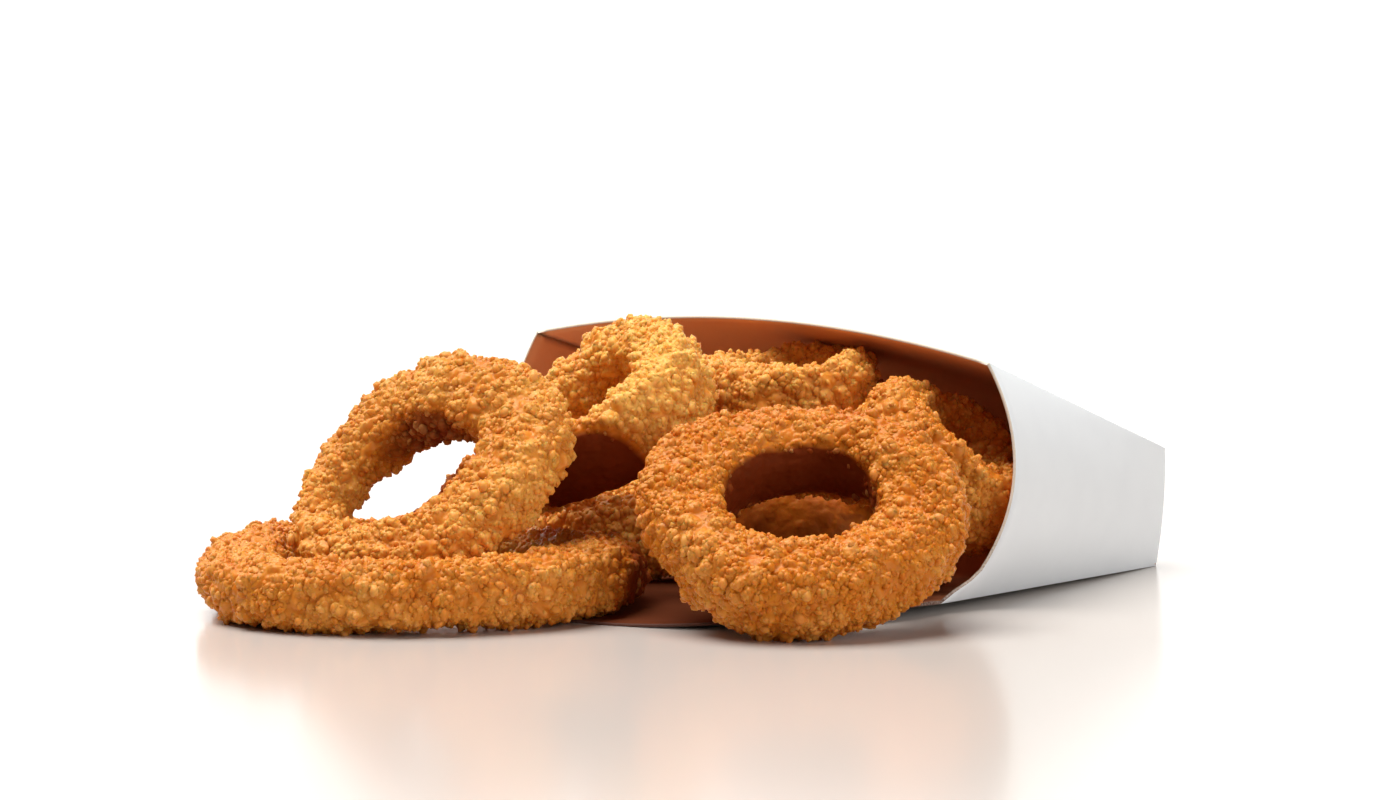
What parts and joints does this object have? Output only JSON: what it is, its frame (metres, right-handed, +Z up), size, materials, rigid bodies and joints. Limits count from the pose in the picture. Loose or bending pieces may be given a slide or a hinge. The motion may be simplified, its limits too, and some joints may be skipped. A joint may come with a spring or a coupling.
{
  "type": "onion rings side",
  "caption": "Side of breaded onion rings spilling from a plain paperboard scoop carton that lies on its tall back panel.",
  "frame": {"origin": "on the table under the middle of the whole side's bounding box", "axes": "+X to the right as seen from the front, along the longest extent; +Y toward the back, where the carton's closed end is; +Z up, the shortest extent"},
  "size_m": [0.1986, 0.192, 0.0559],
  "materials": {
    "board": "clay-coated folding board, satin white outside, brown inside",
    "crust": "deep-fried crumb breading, rough and lightly oily"
  },
  "bodies": {
    "root": {"carton": "board", "ring_1": "crust", "ring_2": "crust", "ring_3": "crust", "ring_4": "crust", "ring_5": "crust", "ring_6": "crust", "ring_7": "crust", "ring_8": "crust"}
  },
  "joints": []
}
